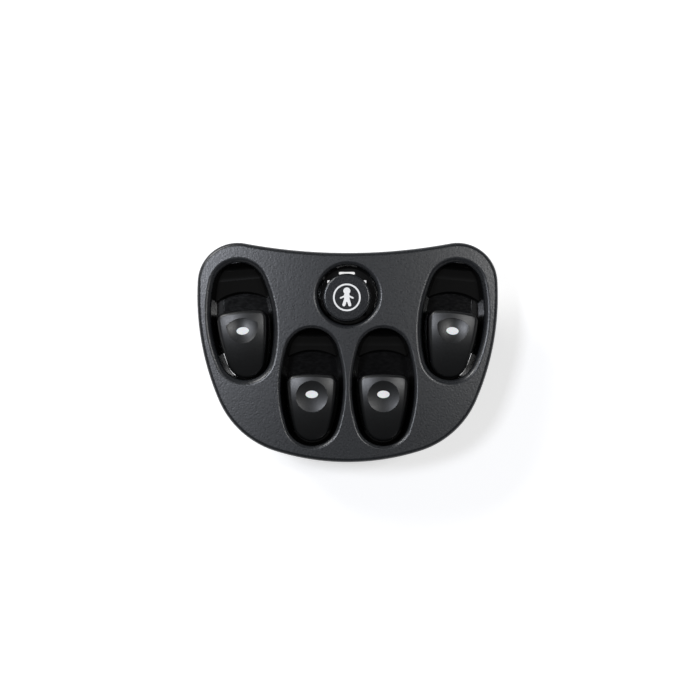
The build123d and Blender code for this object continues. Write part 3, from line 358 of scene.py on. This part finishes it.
# Contacts: stamped brass strip, with rolling lines along it and a browner film where it was handled
brassLook = {
    "shader": {"Metallic": 1.0}, "bright": "#d8b66a", "dull": "#b38f4d", "stretch": (1, 0.08, 1),
    "lineSize": 0.3, "tarnishSize": 2.5, "smooth": 0.22, "rough": 0.38, "bump": 0.15, "depth": 0.01,
}

# Fixed contacts: silver plate on rivets, white with a slight yellow tarnish
silverLook = {
    "shader": {"Metallic": 1.0}, "bright": "#e9e6df", "dull": "#c9c1ab", "stretch": (1, 1, 0.2),
    "lineSize": 0.3, "tarnishSize": 1.2, "smooth": 0.16, "rough": 0.34, "bump": 0.08, "depth": 0.01,
}

# Pins: matt tin plate, pale grey with draw lines along the pin
tinLook = {
    "shader": {"Metallic": 1.0}, "bright": "#d6d5d0", "dull": "#b7b5ad", "stretch": (1, 1, 0.06),
    "lineSize": 0.2, "tarnishSize": 1.5, "smooth": 0.26, "rough": 0.42, "bump": 0.15, "depth": 0.01,
}

# Screws: zinc plate with a blue passivated cast, dulled in patches at random
zincLook = {
    "shader": {"Metallic": 1.0}, "bright": "#c4c8cc", "dull": "#9da1a2", "stretch": (1, 1, 0.5),
    "lineSize": 0.35, "tarnishSize": 1.6, "smooth": 0.22, "rough": 0.4, "bump": 0.12, "depth": 0.01,
}

# Clips: blued spring steel, dark with an oil film and rolling lines up the strip
clipLook = {
    "shader": {"Metallic": 1.0}, "bright": "#7d838b", "dull": "#565b63", "stretch": (1, 1, 0.06),
    "lineSize": 0.3, "tarnishSize": 3, "smooth": 0.24, "rough": 0.44, "bump": 0.2, "depth": 0.015,
}

# Springs: drawn stainless wire, bright with fine die marks
wireLook = {
    "shader": {"Metallic": 1.0}, "bright": "#c9cacc", "dull": "#a9abad", "stretch": (1, 1, 1),
    "lineSize": 0.15, "tarnishSize": 1.0, "smooth": 0.18, "rough": 0.3, "bump": 0.1, "depth": 0.008,
}

finishes.update({
    "contact_brass": workedMetal("stampedBrass", brassLook),
    "cradle_brass": workedMetal("foldedBrass", brassLook),
    "rivet_silver": workedMetal("silverPlate", silverLook),
    "pin_metal": workedMetal("mattTinPlate", tinLook),
    "screw_steel": workedMetal("zincPlatedSteel", zincLook),
    "clip_steel": workedMetal("bluedSpringSteel", clipLook),
    "spring_steel": workedMetal("drawnSpringWire", wireLook),
})
print("metals made")


# Circuit board: green solder resist over copper tracks on glass laminate. Widths and lengths of the tracks
# are in parts of their pitch.
boardLook = {
    "shader": {"IOR": 1.5, "Coat Weight": 0.25, "Coat Roughness": 0.15},
    "bare": "#123d24", "track": "#1f6037", "trackPitch": 2.5, "trackWidth": 0.09, "trackEdge": 0.1,
    "trackLength": 3.0, "trackGap": 0.5, "trackHeight": 0.05, "wanderSize": 14, "wander": 0.02,
    "weaveSize": 0.5, "smooth": 0.24, "rough": 0.36, "bump": 0.5,
}


def makeBoardFinish(look):
    # the tracks show as paler, slightly raised lines under the resist, and the glass weave as a fine check
    material, tree, shader, place = newMaterial("solderResistLaminate", look["shader"])
    wander = addNode(tree, "ShaderNodeTexNoise", {"Scale": perMetre(look["wanderSize"]), "Detail": 0.0},
                     {"Vector": place})
    bent = addNode(tree, "ShaderNodeMix", {"data_type": "VECTOR", "Factor": look["wander"]},
                   {4: place, 5: wander.outputs["Color"]})
    tracks = addNode(tree, "ShaderNodeTexBrick",
                     {"Scale": perMetre(look["trackPitch"]), "Mortar Size": look["trackWidth"],
                      "Mortar Smooth": look["trackEdge"], "Brick Width": look["trackLength"],
                      "Row Height": look["trackGap"],
                      "Color1": grey(0), "Color2": grey(0), "Mortar": grey(1)},
                     {"Vector": bent.outputs[1]})
    tint = addNode(tree, "ShaderNodeMix",
                   {"data_type": "RGBA", 6: linear(look["bare"]), 7: linear(look["track"])},
                   {0: tracks.outputs["Color"]})
    tree.links.new(tint.outputs[2], shader.inputs["Base Color"])
    weave = addNode(tree, "ShaderNodeTexChecker", {"Scale": perMetre(look["weaveSize"])},
                    {"Vector": place})
    gloss = addNode(tree, "ShaderNodeMapRange", {"To Min": look["smooth"], "To Max": look["rough"]},
                    {"Value": weave.outputs["Fac"]})
    tree.links.new(gloss.outputs["Result"], shader.inputs["Roughness"])
    bump = addNode(tree, "ShaderNodeBump",
                   {"Strength": look["bump"], "Distance": look["trackHeight"] / 1000},
                   {"Height": tracks.outputs["Color"]})
    tree.links.new(bump.outputs["Normal"], shader.inputs["Normal"])
    return material


finishes["board_laminate"] = makeBoardFinish(boardLook)

slotOf = {piece["node"]: piece["material_slot"] for piece in frame["record"]["subparts"]}
for name, node in nodes.items():
    node.data.materials.clear()
    node.data.materials.append(finishes[slotOf[name]])
print("finishes set on the CAD nodes")

mergeDistance = 1e-6  # a thousandth of a millimetre


def copyNode(name, newName):
    # a free copy of a CAD node's mesh, merged, active and in object mode, with the CAD normals kept on it
    piece = nodes[name].copy()
    piece.data = piece.data.copy()
    piece.name = newName
    piece.parent = None
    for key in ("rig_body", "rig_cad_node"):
        del piece[key]
    bpy.context.collection.objects.link(piece)
    bpy.ops.object.select_all(action="DESELECT")
    bpy.context.view_layer.objects.active = piece
    piece.select_set(True)
    carried = piece.data.attributes.new("cadNormal", "FLOAT_VECTOR", "CORNER")
    for item, corner in zip(carried.data, piece.data.corner_normals):
        item.vector = corner.vector
    bpy.ops.object.mode_set(mode="EDIT")
    bpy.ops.mesh.select_all(action="SELECT")
    bpy.ops.mesh.remove_doubles(threshold=mergeDistance)
    bpy.ops.object.mode_set(mode="OBJECT")
    return piece


def setNormals(piece, normals):
    piece.data.attributes.remove(piece.data.attributes["cadNormal"])
    piece.data.normals_split_custom_set(normals)


# Springs: each coil is a copy of its CAD node that rides with its body. Each also lists the joint that
# pushes it, the end that stays seated (0 is low, 1 is high) and its travel in millimetres.
springs = {"lock_spring": {"body": "housing", "joint": "lock_button_press", "travel": 2.6, "seatedEnd": 0}}
for window in ("front_left", "front_right", "rear_left", "rear_right"):
    springs[window + "_spring"] = {"body": window + "_rocker", "joint": window + "_plunger_slide",
                                   "travel": 0.6, "seatedEnd": 1}
for name, spring in springs.items():
    coil = copyNode(name, name + "_coil")
    setNormals(coil, [item.vector[:] for item in coil.data.attributes["cadNormal"].data])
    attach(coil, spring["body"])
    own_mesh(coil)
    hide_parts(name)


# Rocker caps: the real caps are crowned from side to side as well, by a millimetre, which gives each lip
# its two bright bands, and the corners of the lip are round. A rocker has its well's centre, its lean in
# degrees, and how far along the well its lip ends. Sizes are in millimetres; "lipReach", "peakAlong" and
# "peakHeight" are taken from the pivot.
caps = {
    "rockers": {"front_left": (-41.4, 12.3, 5.5, 4.1), "front_right": (41.4, 12.3, -5.5, 4.1),
                "rear_left": (-14.0, -13.6, 0, 5.2), "rear_right": (14.0, -13.6, 0, 5.2)},
    "lipReach": 13.3, "pivotHeight": 29.5, "halfWidth": 9.75, "crownRadius": 48.0, "peakAlong": 7.0,
    "peakHeight": 8.8, "drop": 1.05, "skin": 2.8, "cuts": 35, "lipCuts": 5, "lipPitch": 1.3,
    "cornerWidth": 2.6, "cornerDepth": 1.7, "cornerFade": 6.0, "slopeStep": 0.01,
}


def capPlace(look, name):
    # the rocker's pivot point and the direction across it, in metres
    x, y, lean, lipAlong = look["rockers"][name]
    across = Vector((cos(radians(lean)), sin(radians(lean)), 0))
    along = Vector((-across.y, across.x, 0))
    pivot = Vector((x, y, look["pivotHeight"])) + along * (lipAlong - look["lipReach"])
    return pivot / 1000, across, along


def ease(value):
    # 0 up to 0 and 1 from 1 on, with a smooth step between them
    value = min(max(value, 0), 1)
    return value * value * (3 - 2 * value)


def capShift(look, point, pivot, across, along):
    # how far a point of the cap moves: it sinks towards the flanks, but not under the skin, and the corners
    # of the lip are drawn back into a round
    offset = (point - pivot) * 1000
    side, ahead = offset.dot(across), offset.dot(along)
    top = look["peakHeight"] - (ahead - look["peakAlong"]) ** 2 / (2 * look["crownRadius"])
    drop = look["drop"] * (side / look["halfWidth"]) ** 2 * (1 - ease((top - offset.z) / look["skin"]))
    corner = max(abs(side) - look["halfWidth"] + look["cornerWidth"], 0) / look["cornerWidth"]
    back = look["cornerDepth"] * corner ** 2 * ease((ahead - look["lipReach"]) / look["cornerFade"] + 1)
    return (along * -back - Vector((0, 0, drop))) / 1000


def sliceAcross(place, direction):
    bpy.ops.mesh.select_all(action="SELECT")
    bpy.ops.mesh.bisect(plane_co=place, plane_no=direction)


def crownCap(look, name):
    # slices a copy of the rocker, moves its points, and turns its normals with them
    cap = copyNode(name + "_rocker", name + "_cap")
    pivot, across, along = capPlace(look, name)
    bpy.ops.object.mode_set(mode="EDIT")
    pitch = 2 * look["halfWidth"] / (look["cuts"] + 1) / 1000
    for cut in range(look["cuts"]):
        sliceAcross(pivot + across * pitch * (cut - (look["cuts"] - 1) / 2), across)
    for cut in range(look["lipCuts"]):
        sliceAcross(pivot + along * (look["lipReach"] - look["lipPitch"] * (cut + 0.5)) / 1000, along)
    bpy.ops.object.mode_set(mode="OBJECT")
    mesh = cap.data
    step = look["slopeStep"] / 1000
    axes = (Vector((1, 0, 0)), Vector((0, 1, 0)), Vector((0, 0, 1)))
    normals = []
    for corner, item in zip(mesh.loops, mesh.attributes["cadNormal"].data):
        point = mesh.vertices[corner.vertex_index].co
        here = capShift(look, point, pivot, across, along)
        warp = Matrix([axis + (capShift(look, point + axis * step, pivot, across, along) - here) / step
                       for axis in axes])
        normals.append((warp.inverted() @ Vector(item.vector)).normalized())
    for vertex in mesh.vertices:
        vertex.co += capShift(look, vertex.co, pivot, across, along)
    setNormals(cap, normals)
    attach(cap, name + "_rocker")
    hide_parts(name + "_rocker")


for name in caps["rockers"]:
    crownCap(caps, name)
print("rocker caps crowned")


# Studio, in metres: a round pale sheet whose rim sweeps up all round the object, and a dim white sky
studio = {
    "floorRadius": 3.0, "floorSides": 96, "rimHeight": 0.6, "topFaces": 0.9,
    "sweep": 0.35, "sweepSteps": 8, "smoothAngle": 30,
    "floorColour": "#e6e6e6", "floorRoughness": 0.9, "floorSpecular": 0.1,
    "glowColour": "#ffffff", "glowNear": 0.6, "glowFar": 0.95, "farStarts": 0.3, "farEnds": 1.2,
    "skyColour": "#ffffff", "skyStrength": 0.08,
}


def makeFloor(look):
    # a cylinder without its top face, whose lower edge is swept and whose faces look inwards
    height = look["rimHeight"]
    bpy.ops.mesh.primitive_cylinder_add(vertices=look["floorSides"], radius=look["floorRadius"],
                                        depth=height, location=(0, 0, height / 2))
    floor = bpy.context.object
    floor.name = "studio_floor"
    top = [face.index for face in floor.data.polygons if face.normal.z > look["topFaces"]]
    low = [edge.index for edge in floor.data.edges
           if all(floor.data.vertices[corner].co.z < 0 for corner in edge.vertices)]
    bpy.ops.object.mode_set(mode="EDIT")
    bpy.ops.mesh.select_all(action="DESELECT")
    bpy.ops.object.mode_set(mode="OBJECT")
    for index in top:
        floor.data.polygons[index].select = True
    bpy.ops.object.mode_set(mode="EDIT")
    bpy.ops.mesh.delete(type="ONLY_FACE")
    bpy.ops.object.mode_set(mode="OBJECT")
    for index in low:
        floor.data.edges[index].select = True
    bpy.ops.object.mode_set(mode="EDIT")
    bpy.ops.mesh.select_mode(type="EDGE")
    bpy.ops.mesh.bevel(offset=look["sweep"], segments=look["sweepSteps"], affect="EDGES")
    bpy.ops.mesh.select_all(action="SELECT")
    bpy.ops.mesh.flip_normals()
    bpy.ops.object.mode_set(mode="OBJECT")
    bpy.ops.object.transform_apply(location=True)
    bpy.ops.object.shade_smooth_by_angle(angle=radians(look["smoothAngle"]))
    material = bpy.data.materials.new("paleFloorSheet")
    material.use_nodes = True
    tree = material.node_tree
    shader = tree.nodes["Principled BSDF"]
    shader.inputs["Base Color"].default_value = linear(look["floorColour"])
    shader.inputs["Roughness"].default_value = look["floorRoughness"]
    shader.inputs["Specular IOR Level"].default_value = look["floorSpecular"]
    shader.inputs["Emission Color"].default_value = linear(look["glowColour"])
    # the sheet is lifted to white for the camera and in reflections, and keeps the object's shadow; the
    # lift grows away from the middle, where the lamps no longer reach
    place = addNode(tree, "ShaderNodeTexCoord").outputs["Object"]
    away = addNode(tree, "ShaderNodeVectorMath", {"operation": "LENGTH"}, {0: place})
    lift = addNode(tree, "ShaderNodeMapRange",
                   {"From Min": look["farStarts"], "From Max": look["farEnds"],
                    "To Min": look["glowNear"], "To Max": look["glowFar"]},
                   {"Value": away.outputs["Value"]})
    path = addNode(tree, "ShaderNodeLightPath")
    direct = addNode(tree, "ShaderNodeMath", {"operation": "MAXIMUM"},
                     {0: path.outputs["Is Camera Ray"], 1: path.outputs["Is Glossy Ray"]})
    seen = addNode(tree, "ShaderNodeMath", {"operation": "MAXIMUM"},
                   {0: direct.outputs["Value"], 1: path.outputs["Is Transmission Ray"]})
    glow = addNode(tree, "ShaderNodeMath", {"operation": "MULTIPLY"},
                   {0: seen.outputs["Value"], 1: lift.outputs["Result"]})
    tree.links.new(glow.outputs["Value"], shader.inputs["Emission Strength"])
    floor.data.materials.append(material)


makeFloor(studio)

world = bpy.data.worlds.new("studioSky")
bpy.context.scene.world = world
world.use_nodes = True
sky = world.node_tree.nodes["Background"]
sky.inputs["Color"].default_value = linear(studio["skyColour"])
sky.inputs["Strength"].default_value = studio["skyStrength"]

# The key stands low to the upper left and leaves the wells dark. The two sheen boxes hang almost overhead:
# they grey the plate and the lips of the rockers, the left one more. Places and sizes are in metres.
aimPoint = Vector((0, 0, 0.03))
lamps = {
    "key_softbox": {"place": (-0.62, 0.66, 0.7), "size": 0.4, "watts": 6.3, "colour": "#ffffff"},
    "sheen_left": {"place": (-0.34, 0.13, 1.0), "size": 0.16, "watts": 3.3, "colour": "#f1f5ff"},
    "sheen_right": {"place": (0.36, 0.12, 1.0), "size": 0.16, "watts": 1.9, "colour": "#ffffff"},
}
for name, lamp in lamps.items():
    bpy.ops.object.light_add(type="AREA", location=lamp["place"])
    light = bpy.context.object
    light.name = name
    light.data.shape = "SQUARE"
    light.data.size = lamp["size"]
    light.data.energy = lamp["watts"]
    light.data.color = linear(lamp["colour"])[:3]
    aim = aimPoint - Vector(lamp["place"])
    light.rotation_euler = aim.to_track_quat("-Z", "Y").to_euler()

# The photograph looks straight down on the bezel from about 0.6 m; sizes are in metres
view = {"centre": (0.00094, 0.00094), "planeHeight": 0.0378, "distance": 0.6, "frameWidth": 0.2734,
        "clipStart": 0.01}
bpy.ops.object.camera_add(location=(*view["centre"], view["planeHeight"] + view["distance"]),
                          rotation=(0, 0, 0))
camera = bpy.context.object
camera.name = "top_camera"
camera.data.angle = 2 * atan(view["frameWidth"] / 2 / view["distance"])
camera.data.clip_start = view["clipStart"]
bpy.context.scene.camera = camera

bpy.context.scene.view_settings.view_transform = "Standard"
print("studio ready")
